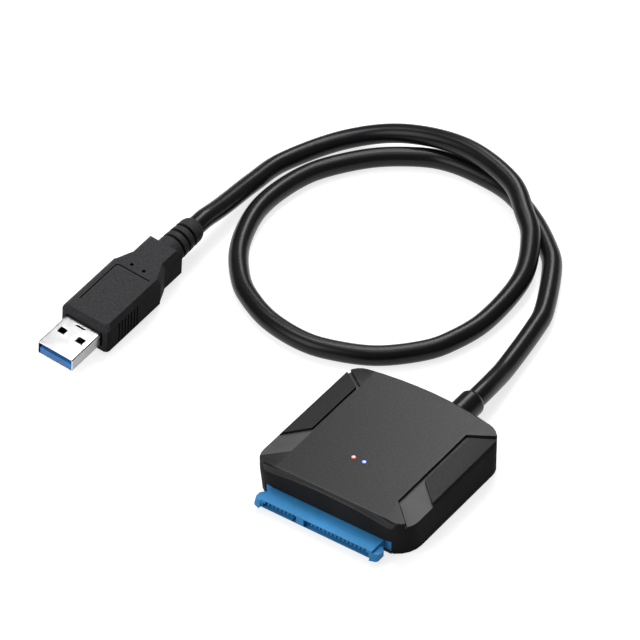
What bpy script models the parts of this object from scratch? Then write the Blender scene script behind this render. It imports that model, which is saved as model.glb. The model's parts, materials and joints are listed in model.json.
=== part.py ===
"""USB to SATA adapter: a flat square housing with a 22-way drive receptacle, on a cable with a USB-A plug.

Metres, +Z up. The origin is the middle of the housing's underside. The drive receptacle faces -Y,
and the cable and the power jack leave the housing at +Y.
"""

import math

import bmesh
import bpy
from mathutils import Euler, Matrix, Vector

# Clearance between pieces that seat on or in each other
GAP = 0.0003
# Extra reach of a cutter past the wall that it cuts
PAST = 0.002

# Housing
CASE_WIDTH = 0.0500
CASE_DEPTH = 0.0500
CASE_HEIGHT = 0.0120
CASE_CORNER = 0.0063
CORNER_FLARE = 0.0017
FLARE_TOP = 0.0075
FOOT_ROUND = 0.0003
BACK_BOW = 0.0018
EDGE_ROUND = 0.0010
SIDE_FALL = 0.0008
WALL = 0.0018
ROOF = 0.0014
RIM_WALL = 0.0008
CEILING_CORNER = 0.0020
BASE_THICKNESS = 0.0012
CORNER_STEPS = 6
BACK_STEPS = 8

# Cove along the front of the roof, whose lower edge is arched
COVE_WIDTH = 0.0007
COVE_DROP = 0.0011
COVE_END_DROP = 0.0027
COVE_END_X = 0.0195
COVE_STATIONS = 14

# Sloped side recesses in the roof, each with a raised panel
RECESS_INNER_X = 0.0172
RECESS_REAR_SETBACK = 0.0097
RECESS_FRONT_SETBACK = 0.0081
RECESS_REAR_SLOPE = 0.75
RECESS_FRONT_SLOPE = 0.90
RECESS_INNER_DEPTH = 0.0009
RECESS_OUTER_DEPTH = 0.0020
RECESS_LINE_WIDTH = 0.00045
RECESS_LINE_DEPTH = 0.0004
CHANNEL_WIDTH = 0.0011
RECESS_FIELD_LENGTH = 0.0111
PANEL_RISE = 0.0008
PANEL_BEVEL = 0.00055

# Snap lugs on the base
LUG_YS = (-0.0060, 0.0120)
LUG_WIDTH = 0.0050
LUG_THICKNESS = 0.0010
LUG_HEIGHT = 0.0040
LUG_HOOK = 0.0004
LUG_HOOK_LOW = 0.0030
CATCH_DEPTH = 0.0009

# Circuit board and what stands on it
BOARD_THICKNESS = 0.0010
BOARD_HALF_WIDTH = 0.0205
BOARD_BACK_Y = 0.0190
POST_RADIUS = 0.0016
POST_X = 0.0180
POST_YS = (-0.0130, 0.0165)

# Drive receptacle
SATA_PITCH = 0.00127
SATA_SIGNALS = 7
SATA_POWERS = 15
SATA_GROUP_STEP = 5
SATA_BODY_HALF = 0.0181
SATA_BOTTOM = 0.0012
SATA_HEIGHT = 0.0032
SATA_OUT = 0.0053
SATA_IN = 0.0040
SATA_CHAMFER = 0.00045
SATA_SLOT_LIP = 0.00075
SATA_SLOT_HEIGHT = 0.00135
SATA_SLOT_DEPTH = 0.0060
SATA_SLOT_END = 0.0013
SATA_KEY_REACH = 0.0020
SATA_KEY_WIDTH = 0.0014
SATA_KEY_DROP = 0.00045
SATA_GROOVE_WIDTH = 0.00090
SATA_GROOVE_HEIGHT = 0.00080
SATA_FLANGE_HALF = 0.0202
SATA_FLANGE_SETBACK = 0.0008
SATA_FLANGE_DEPTH = 0.0018
EAR_REACH = 0.00195
EAR_FORWARD = 0.0010
EAR_LENGTH = 0.0039
EAR_RISE = 0.0005
EAR_HEIGHT = 0.0019
EAR_CHAMFER = 0.0011
GATE_XS = (0.0024, 0.0131)
GATE_WIDTH = 0.0008
GATE_DEPTH = 0.0003
CONTACT_WIDTH = 0.00050
CONTACT_THICKNESS = 0.00022
CONTACT_DIP = 0.00055
CONTACT_TAIL = 0.0024

# Indicator lights
LIGHT_Y = -0.0093
LIGHT_MIDDLE_X = -0.0006
LIGHT_SPACING = 0.0034
LIGHT_PIPE_RADIUS = 0.00060
LIGHT_PIPE_COLLAR = 0.0012

# Power jack for a 5.5 x 2.1 mm plug
JACK_X = -0.0105
JACK_WIDTH = 0.0086
JACK_ROOM = 0.0005
JACK_LENGTH = 0.0120
JACK_BORE_RADIUS = 0.00315
JACK_COLLAR_RADIUS = 0.0038
JACK_PIN_RADIUS = 0.00100
JACK_PIN_SHORT = 0.0006
JACK_BORE_DEPTH = 0.0095

# Cable gland
GLAND_X = 0.0070
GLAND_Z = 0.0054
GLAND_RADIUS = 0.0038
GLAND_NECK_RADIUS = 0.0030
GLAND_FLANGE_RADIUS = 0.0040
GLAND_LENGTH = 0.0100

# Cable
CABLE_RADIUS = 0.0029
CABLE_POINT_STEP = 0.0120

# USB-A plug, in its own frame: nose at the origin, boot toward +Y, its axis at z = 0
SHELL_WIDTH = 0.0120
SHELL_HEIGHT = 0.0045
SHELL_WALL = 0.0003
SHELL_CORNER = 0.0006
SHELL_OUT = 0.0130
SHELL_IN = 0.0058
WINDOW_X = 0.0031
WINDOW_Y = 0.0074
WINDOW_WIDTH = 0.0024
WINDOW_LENGTH = 0.0022
DIMPLE_Y = 0.0115
DIMPLE_WIDTH = 0.0030
DIMPLE_LENGTH = 0.0007
TONGUE_HEIGHT = 0.0018
TONGUE_SETBACK = 0.0004
PLUG_CONTACT_PITCH = 0.0020
PLUG_CONTACT_WIDTH = 0.0010
PLUG_CONTACT_THICKNESS = 0.0002
GRIP_WIDTH = 0.0163
GRIP_HEIGHT = 0.0098
GRIP_EDGE = 0.0013
GRIP_FOOT = 0.0007
GRIP_CORNER = 0.0012
GRIP_LENGTH = 0.0245
GRIP_TAPER = 0.0050
GRIP_NECK_WIDTH = 0.0112
GRIP_NECK_LENGTH = 0.0085
SLIT_COUNT = 7
SLIT_PITCH = 0.00138
SLIT_START = 0.0052
SLIT_WIDTH = 0.0005
SLIT_DEPTH = 0.0004
GRIP_LINE_WIDTH = 0.0004
GRIP_LINE_DEPTH = 0.0003
GRIP_LINE_X = 0.0057
GRIP_LINE_START = 0.0052
GRIP_LINE_END = 0.0226
GRIP_DOT_X = 0.0021
GRIP_DOT_Y = 0.0246
GRIP_DOT_RADIUS = 0.0006
GRIP_DOT_DEPTH = 0.0005
BOOT_RADIUS = 0.0042
BOOT_LENGTH = 0.0134
BOOT_RING_COUNT = 3
BOOT_RING_PITCH = 0.0028
BOOT_RING_WIDTH = 0.0010
BOOT_RING_DEPTH = 0.0008
PLUG_NOSE_X = -0.0976
PLUG_NOSE_Y = -0.0160
PLUG_PITCH = math.radians(3.0)
PLUG_ROLL = math.radians(6.0)

# Heights and places that follow from the sizes above
HALF_WIDTH = CASE_WIDTH / 2
HALF_DEPTH = CASE_DEPTH / 2
BACK_BEND = BACK_BOW / (HALF_WIDTH - CASE_CORNER) ** 2
CEILING = CASE_HEIGHT - ROOF
RECESS_REAR_Y = HALF_DEPTH - RECESS_REAR_SETBACK
RECESS_FRONT_Y = -HALF_DEPTH + RECESS_FRONT_SETBACK
PANEL_FRONT_Y = RECESS_FRONT_Y + RECESS_FIELD_LENGTH
SATA_FRONT_Y = -HALF_DEPTH - SATA_OUT
SATA_REAR_Y = -HALF_DEPTH + SATA_IN
FLANGE_FRONT_Y = -HALF_DEPTH + SATA_FLANGE_SETBACK
BOARD_BOTTOM = SATA_BOTTOM + SATA_HEIGHT / 2 - BOARD_THICKNESS / 2
BOARD_TOP = BOARD_BOTTOM + BOARD_THICKNESS
BOARD_FRONT_Y = SATA_REAR_Y + GAP
PART_SEAT = BOARD_TOP + GAP
SATA_TOP = SATA_BOTTOM + SATA_HEIGHT
SLOT_BOTTOM = SATA_BOTTOM + SATA_SLOT_LIP
SLOT_TOP = SLOT_BOTTOM + SATA_SLOT_HEIGHT
GROOVE_TOP = SLOT_TOP + SATA_GROOVE_HEIGHT
SATA_SPAN = SATA_PITCH * (SATA_SIGNALS - 1 + SATA_GROUP_STEP + SATA_POWERS - 1)
SIGNAL_XS = [-SATA_SPAN / 2 + i * SATA_PITCH for i in range(SATA_SIGNALS)]
POWER_XS = [SATA_SPAN / 2 - (SATA_POWERS - 1 - i) * SATA_PITCH for i in range(SATA_POWERS)]
JACK_LOW = BASE_THICKNESS + JACK_ROOM
JACK_TOP = CEILING - JACK_ROOM
JACK_AXIS_Z = (JACK_LOW + JACK_TOP) / 2
GRIP_FRONT = SHELL_OUT
GRIP_BACK = GRIP_FRONT + GRIP_LENGTH + GRIP_TAPER + GRIP_NECK_LENGTH
BOOT_END = GRIP_BACK + BOOT_LENGTH

COLOURS = {
    "case_black": ((0.030, 0.030, 0.032), 0.45, 0.0),
    "receptacle_blue": ((0.045, 0.235, 0.520), 0.35, 0.0),
    "contact_gold": ((0.780, 0.560, 0.230), 0.25, 1.0),
    "board_green": ((0.015, 0.120, 0.050), 0.40, 0.0),
    "chip_black": ((0.020, 0.020, 0.022), 0.50, 0.0),
    "tin_metal": ((0.620, 0.620, 0.630), 0.30, 1.0),
    "ceramic_tan": ((0.420, 0.270, 0.150), 0.45, 0.0),
    "light_red": ((0.900, 0.060, 0.050), 0.20, 0.0),
    "light_blue": ((0.060, 0.120, 0.900), 0.20, 0.0),
    "jack_black": ((0.015, 0.015, 0.016), 0.35, 0.0),
    "cable_black": ((0.022, 0.022, 0.024), 0.38, 0.0),
    "plug_steel": ((0.860, 0.860, 0.870), 0.22, 1.0),
    "plug_blue": ((0.030, 0.200, 0.620), 0.35, 0.0),
    "grip_black": ((0.040, 0.040, 0.042), 0.55, 0.0),
    "wire_red": ((0.500, 0.020, 0.020), 0.40, 0.0),
    "wire_white": ((0.750, 0.750, 0.740), 0.40, 0.0),
}


def clear_scene():
    for obj in list(bpy.data.objects):
        bpy.data.objects.remove(obj, do_unlink=True)


def material(name):
    found = bpy.data.materials.get(name)
    if found:
        return found
    colour, roughness, metallic = COLOURS[name]
    made = bpy.data.materials.new(name)
    made.use_nodes = True
    shader = made.node_tree.nodes["Principled BSDF"]
    shader.inputs["Base Color"].default_value = (*colour, 1.0)
    shader.inputs["Roughness"].default_value = roughness
    shader.inputs["Metallic"].default_value = metallic
    return made


def add_mesh(name, mesh, finish=None):
    """An object of this mesh. Without a finish it is a cutter or a guide, which isn't part of the model."""
    obj = bpy.data.objects.new(name, mesh)
    bpy.context.scene.collection.objects.link(obj)
    if finish is None:
        obj.hide_render = True
        obj.display_type = "WIRE"
        return obj
    if not mesh.materials:
        mesh.materials.append(material(finish))
    mesh.shade_smooth()
    mesh.set_sharp_from_angle(angle=math.radians(35))
    return obj


def mesh_from(name, bm):
    bmesh.ops.recalc_face_normals(bm, faces=bm.faces)
    mesh = bpy.data.meshes.new(name)
    bm.to_mesh(mesh)
    bm.free()
    return mesh


def add_loft(bm, rings):
    """Closes a stack of rings, each with as many points, into one solid."""
    loops = [[bm.verts.new(point) for point in ring] for ring in rings]
    count = len(loops[0])
    for lower, upper in zip(loops, loops[1:]):
        for i in range(count):
            j = (i + 1) % count
            bm.faces.new((lower[i], lower[j], upper[j], upper[i]))
    bm.faces.new(loops[0][::-1])
    bm.faces.new(loops[-1])


def loft(name, rings, finish=None):
    bm = bmesh.new()
    add_loft(bm, rings)
    return add_mesh(name, mesh_from(name, bm), finish)


def add_box(bm, low, high):
    x0, y0, z0 = low
    x1, y1, z1 = high
    plan = [(x0, y0), (x1, y0), (x1, y1), (x0, y1)]
    add_loft(bm, [[(x, y, z) for x, y in plan] for z in (z0, z1)])


def boxes(name, corners, finish=None):
    """One mesh of separate boxes, each given by its low and high corner."""
    bm = bmesh.new()
    for low, high in corners:
        add_box(bm, low, high)
    return add_mesh(name, mesh_from(name, bm), finish)


def box(name, low, high, finish=None):
    return boxes(name, [(low, high)], finish)


def prism_z(name, plan, z0, z1, finish=None):
    """A plan outline raised from z0 to z1. Either height may be a function of the point."""
    lower = [(x, y, z0(x, y) if callable(z0) else z0) for x, y in plan]
    upper = [(x, y, z1(x, y) if callable(z1) else z1) for x, y in plan]
    return loft(name, [lower, upper], finish)


def prism_x(name, section, x0, x1, finish=None):
    """A section in Y and Z drawn out from x0 to x1."""
    return loft(name, [[(x, y, z) for y, z in section] for x in (x0, x1)], finish)


def prism_y(name, section, y0, y1, finish=None):
    """A section in X and Z drawn out from y0 to y1."""
    return loft(name, [[(x, y, z) for x, z in section] for y in (y0, y1)], finish)


def turned(name, profile, centre, axis, finish=None, steps=24):
    """A profile of (along, radius) turned about an axis through the centre. Its ends are closed flat."""
    turn = Vector((0, 0, 1)).rotation_difference(Vector(axis)).to_matrix()
    rings = []
    for along, radius in profile:
        ring = []
        for i in range(steps):
            angle = 2 * math.pi * i / steps
            point = Vector((radius * math.cos(angle), radius * math.sin(angle), along))
            ring.append(turn @ point + Vector(centre))
        rings.append(ring)
    return loft(name, rings, finish)


def change(target, tool, operation):
    modifier = target.modifiers.new(tool.name, "BOOLEAN")
    modifier.object = tool
    modifier.operation = operation
    modifier.solver = "EXACT"


def cut(target, *tools):
    for tool in tools:
        change(target, tool, "DIFFERENCE")


def join(target, *tools):
    for tool in tools:
        change(target, tool, "UNION")


def case_outline(inset=0.0, side_inset=None, corner=None, flare=0.0):
    """The housing's plan, anticlockwise: straight sides and front, round corners and a bowed back.
    The flare is how much larger the front corners' radius is than the rear corners'."""
    half_x = HALF_WIDTH - (inset if side_inset is None else side_inset)
    front_y = -HALF_DEPTH + inset
    back_y = HALF_DEPTH - inset
    radius = max(CASE_CORNER - inset, 0.0008) if corner is None else corner
    reach = half_x - radius
    lean = math.pi / 2 - math.atan(2 * BACK_BEND * reach * (1 + 2 * BACK_BEND * radius))
    end_x = reach + radius * math.cos(lean)
    end_y = back_y - BACK_BEND * end_x**2
    centre_y = end_y - radius * math.sin(lean)
    points = []
    wide = radius + flare
    for i in range(CORNER_STEPS + 1):
        angle = -math.pi / 2 + i / CORNER_STEPS * math.pi / 2
        points.append((half_x - wide + wide * math.cos(angle), front_y + wide + wide * math.sin(angle)))
    for i in range(CORNER_STEPS + 1):
        angle = i / CORNER_STEPS * lean
        points.append((reach + radius * math.cos(angle), centre_y + radius * math.sin(angle)))
    for i in range(1, BACK_STEPS):
        x = end_x * (1 - 2 * i / BACK_STEPS)
        points.append((x, back_y - BACK_BEND * x**2))
    right = points[: 2 * CORNER_STEPS + 2]
    return points + [(-x, y) for x, y in reversed(right)]


def case_back(x):
    """The y of the housing's back wall at x."""
    return HALF_DEPTH - BACK_BEND * x**2


def ring_at(plan, z):
    return [(x, y, z) for x, y in plan]


def recess_floor(x):
    """The height of a side recess's floor, which falls toward the housing's side."""
    share = (abs(x) - RECESS_INNER_X) / (HALF_WIDTH - RECESS_INNER_X)
    depth = RECESS_INNER_DEPTH + share * (RECESS_OUTER_DEPTH - RECESS_INNER_DEPTH)
    return CASE_HEIGHT - depth


def side_region(side, inner_x, rear_y, front_y):
    """A plan region open to one side of the housing, with slanted rear and front edges."""
    outer_x = HALF_WIDTH + PAST
    span = outer_x - inner_x
    plan = [
        (inner_x, rear_y),
        (inner_x, front_y),
        (outer_x, front_y - span * RECESS_FRONT_SLOPE),
        (outer_x, rear_y + span * RECESS_REAR_SLOPE),
    ]
    return [(side * x, y) for x, y in (plan if side > 0 else plan[::-1])]


def side_line(side):
    """The narrow sunk line at the foot of a recess's front step."""
    outer_x = HALF_WIDTH + PAST
    width = RECESS_LINE_WIDTH * math.hypot(1, RECESS_FRONT_SLOPE)
    front_y = RECESS_FRONT_Y - (outer_x - RECESS_INNER_X) * RECESS_FRONT_SLOPE
    plan = [
        (RECESS_INNER_X, RECESS_FRONT_Y + width),
        (RECESS_INNER_X, RECESS_FRONT_Y),
        (outer_x, front_y),
        (outer_x, front_y + width),
    ]
    return [(side * x, y) for x, y in (plan if side > 0 else plan[::-1])]


def recess_channel(side):
    """The plan of a recess without its raised panel: a channel round it, and the field before it."""
    outer_x = HALF_WIDTH + PAST
    inner_x = RECESS_INNER_X + CHANNEL_WIDTH
    edge_gap = CHANNEL_WIDTH * math.hypot(1, RECESS_REAR_SLOPE)
    panel_rear_y = RECESS_REAR_Y - edge_gap + CHANNEL_WIDTH * RECESS_REAR_SLOPE
    whole = side_region(1, RECESS_INNER_X, RECESS_REAR_Y, RECESS_FRONT_Y)
    panel = side_region(1, inner_x, panel_rear_y, PANEL_FRONT_Y)
    plan = [whole[0], whole[1], whole[2], panel[2], panel[1], panel[0], panel[3], whole[3]]
    return [(side * x, y) for x, y in (plan if side > 0 else plan[::-1])]


def panel_top_cutter(side):
    """What lies over the raised panel, whose top is parallel to the recess's floor and bevelled at the side."""
    edge_x = HALF_WIDTH - PANEL_BEVEL
    edge_z = recess_floor(edge_x) + PANEL_RISE
    foot_z = recess_floor(HALF_WIDTH)
    past_z = foot_z - (edge_z - foot_z) * PAST / PANEL_BEVEL
    levels = [
        (RECESS_INNER_X, recess_floor(RECESS_INNER_X) + PANEL_RISE),
        (edge_x, edge_z),
        (HALF_WIDTH, foot_z),
        (HALF_WIDTH + PAST, past_z),
    ]
    rings = []
    for x, z in levels:
        front_y = RECESS_FRONT_Y - (x - RECESS_INNER_X) * RECESS_FRONT_SLOPE
        rear_y = RECESS_REAR_Y + (x - RECESS_INNER_X) * RECESS_REAR_SLOPE
        section = [(front_y, z), (rear_y, z), (rear_y, CASE_HEIGHT + PAST), (front_y, CASE_HEIGHT + PAST)]
        rings.append([(side * x, y, height) for y, height in section])
    return loft("panel_top", rings)


def roof_side_cutter(side):
    """What lies over the roof's outer part, which falls a little toward the housing's side."""
    slope = SIDE_FALL / (HALF_WIDTH - RECESS_INNER_X)
    outer_x = HALF_WIDTH + PAST
    high = CASE_HEIGHT + PAST
    outer_z = CASE_HEIGHT - (outer_x - RECESS_INNER_X) * slope
    section = [(RECESS_INNER_X, CASE_HEIGHT), (outer_x, outer_z), (outer_x, high), (RECESS_INNER_X, high)]
    section = [(side * x, z) for x, z in section]
    return prism_y("roof_side", section, -HALF_DEPTH - PAST, HALF_DEPTH + PAST)


def front_cove():
    """The cove along the front of the roof: a straight crease on top, and a rim that falls toward both ends."""
    crease_y = -HALF_DEPTH + COVE_WIDTH
    rings = []
    for i in range(COVE_STATIONS + 1):
        x = (HALF_WIDTH + PAST) * (2 * i / COVE_STATIONS - 1)
        drop = COVE_DROP + (COVE_END_DROP - COVE_DROP) * (x / COVE_END_X) ** 2
        ring = [(x, crease_y, CASE_HEIGHT + PAST)]
        for degrees in (0, 20, 40, 60, 75):
            angle = math.radians(degrees)
            along = COVE_WIDTH * (1 - math.cos(angle))
            ring.append((x, crease_y - along, CASE_HEIGHT - drop * math.sin(angle)))
        front_y = -HALF_DEPTH - PAST
        rim_z = CASE_HEIGHT - drop
        ring += [(x, -HALF_DEPTH, rim_z), (x, front_y, rim_z), (x, front_y, CASE_HEIGHT + PAST)]
        rings.append(ring)
    return loft("front_cove", rings)


def make_top_cover():
    """The upper shell: roof and full-height sides, open below."""
    rings = [
        ring_at(case_outline(FOOT_ROUND, flare=CORNER_FLARE + FOOT_ROUND), 0.0),
        ring_at(case_outline(flare=CORNER_FLARE), FOOT_ROUND),
        ring_at(case_outline(flare=CORNER_FLARE * 0.45), FLARE_TOP * 0.55),
        ring_at(case_outline(), FLARE_TOP),
        ring_at(case_outline(), CASE_HEIGHT - EDGE_ROUND),
    ]
    for degrees in (30, 60, 90):
        angle = math.radians(degrees)
        inset = EDGE_ROUND * (1 - math.cos(angle))
        rings.append(ring_at(case_outline(inset), CASE_HEIGHT - EDGE_ROUND * (1 - math.sin(angle))))
    cover = loft("top_cover", rings, "case_black")

    shoulder = CASE_HEIGHT - RECESS_OUTER_DEPTH - ROOF
    side_step = HALF_WIDTH - RECESS_INNER_X + ROOF
    ledge = BASE_THICKNESS + GAP
    hollow = loft(
        "cover_hollow",
        [
            ring_at(case_outline(WALL, flare=CORNER_FLARE), ledge - PAST / 4),
            ring_at(case_outline(WALL), shoulder),
            ring_at(case_outline(WALL, side_step, CEILING_CORNER), CEILING),
        ],
    )
    rebate = prism_z("cover_rebate", case_outline(RIM_WALL, flare=CORNER_FLARE), -PAST, ledge)
    cut(cover, hollow, rebate)

    for side in (-1, 1):
        word = "right" if side > 0 else "left"
        high = CASE_HEIGHT + PAST
        cut(cover, roof_side_cutter(side))
        cut(cover, prism_z("recess_" + word, recess_channel(side), lambda x, y: recess_floor(x), high))
        cut(cover, panel_top_cutter(side))
        sunk = prism_z(
            "recess_line_" + word,
            side_line(side),
            lambda x, y: recess_floor(x) - RECESS_LINE_DEPTH,
            high,
        )
        cut(cover, sunk)
    cut(cover, front_cove())

    opening = SATA_FLANGE_HALF + GAP
    front_low = (-opening, -HALF_DEPTH - PAST, -PAST)
    front_high = (opening, -HALF_DEPTH + WALL + PAST, SATA_TOP + GAP)
    cut(cover, box("receptacle_opening", front_low, front_high))

    slot = GLAND_NECK_RADIUS + GAP
    wall_back = case_back(GLAND_X) + PAST
    wall_front = case_back(GLAND_X) - WALL - PAST
    gland_slot = prism_z(
        "gland_slot",
        [
            (GLAND_X - slot, wall_front),
            (GLAND_X + slot, wall_front),
            (GLAND_X + slot, wall_back),
            (GLAND_X - slot, wall_back),
        ],
        -PAST,
        GLAND_Z,
    )
    hole = [(wall_front, slot), (wall_back, slot)]
    cut(cover, gland_slot, turned("gland_hole", hole, (GLAND_X, 0, GLAND_Z), (0, 1, 0)))

    jack_hole = JACK_COLLAR_RADIUS + GAP
    back = case_back(JACK_X)
    hole = [(back - WALL - PAST, jack_hole), (back + PAST, jack_hole)]
    cut(cover, turned("jack_hole", hole, (JACK_X, 0, JACK_AXIS_Z), (0, 1, 0), steps=32))

    for x in light_xs():
        bore = LIGHT_PIPE_RADIUS + GAP / 2
        hole = [(CEILING - PAST, bore), (CASE_HEIGHT + PAST, bore)]
        cut(cover, turned("light_hole", hole, (x, LIGHT_Y, 0), (0, 0, 1), steps=16))

    posts = []
    catches = []
    inner_x = HALF_WIDTH - WALL
    low = BASE_THICKNESS + LUG_HOOK_LOW - GAP
    for side in (-1, 1):
        for y in LUG_YS:
            half = LUG_WIDTH / 2 + GAP
            xs = sorted((side * (inner_x - PAST / 4), side * (inner_x + CATCH_DEPTH)))
            catches.append(((xs[0], y - half, low), (xs[1], y + half, low + LUG_HEIGHT / 2)))
        for y in POST_YS:
            posts.append((side * POST_X, y))
    cut(cover, boxes("lug_catches", catches))
    for x, y in posts:
        profile = [(BOARD_TOP + GAP, POST_RADIUS), (CEILING, POST_RADIUS)]
        join(cover, turned("cover_post", profile, (x, y, 0), (0, 0, 1), steps=12))
    return cover


def make_bottom_cover():
    """The base plate, held by four snap lugs, with a lip under the receptacle and a tab under the gland."""
    plan = case_outline(RIM_WALL + GAP, flare=CORNER_FLARE)
    plate = prism_z("bottom_cover", plan, 0.0, BASE_THICKNESS, "case_black")

    lip_top = SATA_BOTTOM - GAP
    lip_low = (-SATA_FLANGE_HALF, FLANGE_FRONT_Y, 0.0)
    lip_high = (SATA_FLANGE_HALF, -HALF_DEPTH + WALL + PAST, lip_top)
    join(plate, box("receptacle_lip", lip_low, lip_high))
    pocket_half = SATA_FLANGE_HALF + GAP
    pocket_low = (-pocket_half, -HALF_DEPTH - PAST, lip_top)
    pocket_high = (pocket_half, SATA_REAR_Y + 4 * GAP, BASE_THICKNESS + PAST)
    cut(plate, box("receptacle_pocket", pocket_low, pocket_high))

    hook_x = HALF_WIDTH - WALL + LUG_HOOK
    face_x = HALF_WIDTH - WALL - 2 * GAP
    for side in (-1, 1):
        section = [
            (face_x - LUG_THICKNESS, BASE_THICKNESS / 2),
            (face_x, BASE_THICKNESS / 2),
            (face_x, BASE_THICKNESS + LUG_HOOK_LOW),
            (hook_x, BASE_THICKNESS + LUG_HOOK_LOW),
            (face_x, BASE_THICKNESS + LUG_HEIGHT),
            (face_x - LUG_THICKNESS, BASE_THICKNESS + LUG_HEIGHT),
        ]
        section = [(side * x, z) for x, z in section]
        for y in LUG_YS:
            join(plate, prism_y("snap_lug", section, y - LUG_WIDTH / 2, y + LUG_WIDTH / 2))
        for y in POST_YS:
            profile = [(BASE_THICKNESS / 2, POST_RADIUS), (BOARD_BOTTOM - GAP, POST_RADIUS)]
            join(plate, turned("base_post", profile, (side * POST_X, y, 0), (0, 0, 1), steps=12))

    tab_top = GLAND_Z - GLAND_NECK_RADIUS - GAP
    tab_back = case_back(GLAND_X + GLAND_NECK_RADIUS)
    tab_low = (GLAND_X - GLAND_NECK_RADIUS, tab_back - WALL, 0.0)
    join(plate, box("gland_tab", tab_low, (GLAND_X + GLAND_NECK_RADIUS, tab_back, tab_top)))
    return plate


def contact_strip(path, thickness):
    """The section of a bent strip whose middle line is given as (y, z) points."""
    upper, lower = [], []
    for i, point in enumerate(path):
        before = Vector(path[max(i - 1, 0)])
        after = Vector(path[min(i + 1, len(path) - 1)])
        along = (after - before).normalized()
        side = Vector((-along.y, along.x)) * thickness / 2
        upper.append(tuple(Vector(point) + side))
        lower.append(tuple(Vector(point) - side))
    return upper + lower[::-1]


def slot_box(x0, x1, z0, z1, depth):
    return (x0, SATA_FRONT_Y - PAST, z0), (x1, SATA_FRONT_Y + depth, z1)


def guide_ear(side):
    """A guide ear at one end of the receptacle, with a slanted lead-in whose foot reaches forward."""
    inner = SATA_BODY_HALF - GAP
    outer = SATA_BODY_HALF + EAR_REACH
    back = SATA_FRONT_Y + EAR_LENGTH
    low = SATA_BOTTOM + EAR_RISE
    rings = []
    for z, forward in ((low, EAR_FORWARD), (low + EAR_HEIGHT, 0.0)):
        front = SATA_FRONT_Y - forward
        plan = [
            (inner, front),
            (outer - EAR_CHAMFER / 2, front + EAR_CHAMFER / 2),
            (outer, front + EAR_CHAMFER),
            (outer, back - EAR_CHAMFER),
            (outer - EAR_CHAMFER, back),
            (inner, back),
        ]
        rings.append(ring_at([(side * x, y) for x, y in plan], z))
    return loft("guide_ear", rings)


def make_receptacle():
    """The blue drive receptacle: two keyed slots, a groove for each contact, a flange and two guide ears."""
    cut_back = SATA_CHAMFER
    section = [
        (SATA_FRONT_Y + cut_back, SATA_BOTTOM),
        (SATA_REAR_Y, SATA_BOTTOM),
        (SATA_REAR_Y, SATA_TOP),
        (SATA_FRONT_Y, SATA_TOP),
        (SATA_FRONT_Y, SATA_BOTTOM + cut_back),
    ]
    body = prism_x("sata_receptacle", section, -SATA_BODY_HALF, SATA_BODY_HALF, "receptacle_blue")

    flange_back = FLANGE_FRONT_Y + SATA_FLANGE_DEPTH
    flange_low = (-SATA_FLANGE_HALF, FLANGE_FRONT_Y, SATA_BOTTOM)
    join(body, box("receptacle_flange", flange_low, (SATA_FLANGE_HALF, flange_back, SATA_TOP)))
    for side in (-1, 1):
        join(body, guide_ear(side))

    signal_end = SIGNAL_XS[-1] + SATA_KEY_REACH
    power_end = POWER_XS[0] - SATA_KEY_REACH
    slots = [
        (SIGNAL_XS[0] - SATA_SLOT_END, signal_end),
        (power_end, POWER_XS[-1] + SATA_SLOT_END),
    ]
    for x0, x1 in slots:
        low, high = slot_box(x0, x1, SLOT_BOTTOM, SLOT_TOP, SATA_SLOT_DEPTH)
        cut(body, box("tongue_slot", low, high))
    keys = [(signal_end - SATA_KEY_WIDTH, signal_end), (power_end, power_end + SATA_KEY_WIDTH)]
    for x0, x1 in keys:
        low, high = slot_box(x0, x1, SLOT_BOTTOM - SATA_KEY_DROP, GROOVE_TOP, SATA_SLOT_DEPTH)
        cut(body, box("key_slot", low, high))

    half = SATA_GROOVE_WIDTH / 2
    grooves = []
    for x in SIGNAL_XS + POWER_XS:
        low = (x - half, SATA_FRONT_Y - PAST, SLOT_TOP - GAP)
        grooves.append((low, (x + half, SATA_REAR_Y + PAST, GROOVE_TOP)))
    cut(body, boxes("contact_grooves", grooves))

    gates = []
    for x in GATE_XS:
        low = (x - GATE_WIDTH / 2, SATA_FRONT_Y - PAST, SATA_BOTTOM - PAST)
        gates.append((low, (x + GATE_WIDTH / 2, SATA_FRONT_Y + GATE_DEPTH, SATA_BOTTOM + GATE_DEPTH)))
    cut(body, boxes("gate_notches", gates))
    return body


def make_receptacle_contacts():
    """Each contact: a sprung tip that dips into its slot, a straight run and a tail over the board."""
    rest_z = GROOVE_TOP - CONTACT_THICKNESS - GAP / 3
    tip_y = SATA_FRONT_Y + 0.0007
    dip_y = SATA_FRONT_Y + 0.0026
    path = [
        (tip_y, rest_z),
        ((tip_y + dip_y) / 2, rest_z - CONTACT_DIP * 0.45),
        (dip_y, rest_z - CONTACT_DIP),
        (dip_y + 0.0013, rest_z - CONTACT_DIP * 0.45),
        (SATA_FRONT_Y + SATA_SLOT_DEPTH - GAP, rest_z),
        (SATA_REAR_Y + CONTACT_TAIL, rest_z),
    ]
    section = contact_strip(path, CONTACT_THICKNESS)
    half = CONTACT_WIDTH / 2
    first = prism_x("signal_contact_1", section, -half, half, "contact_gold")
    names = [f"signal_contact_{i + 1}" for i in range(SATA_SIGNALS)]
    names += [f"power_contact_{i + 1}" for i in range(SATA_POWERS)]
    for name, x in zip(names, SIGNAL_XS + POWER_XS):
        contact = first if name == first.name else add_mesh(name, first.data, "contact_gold")
        contact.location.x = x


def light_xs():
    half = LIGHT_SPACING / 2
    return LIGHT_MIDDLE_X - half, LIGHT_MIDDLE_X + half


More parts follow.
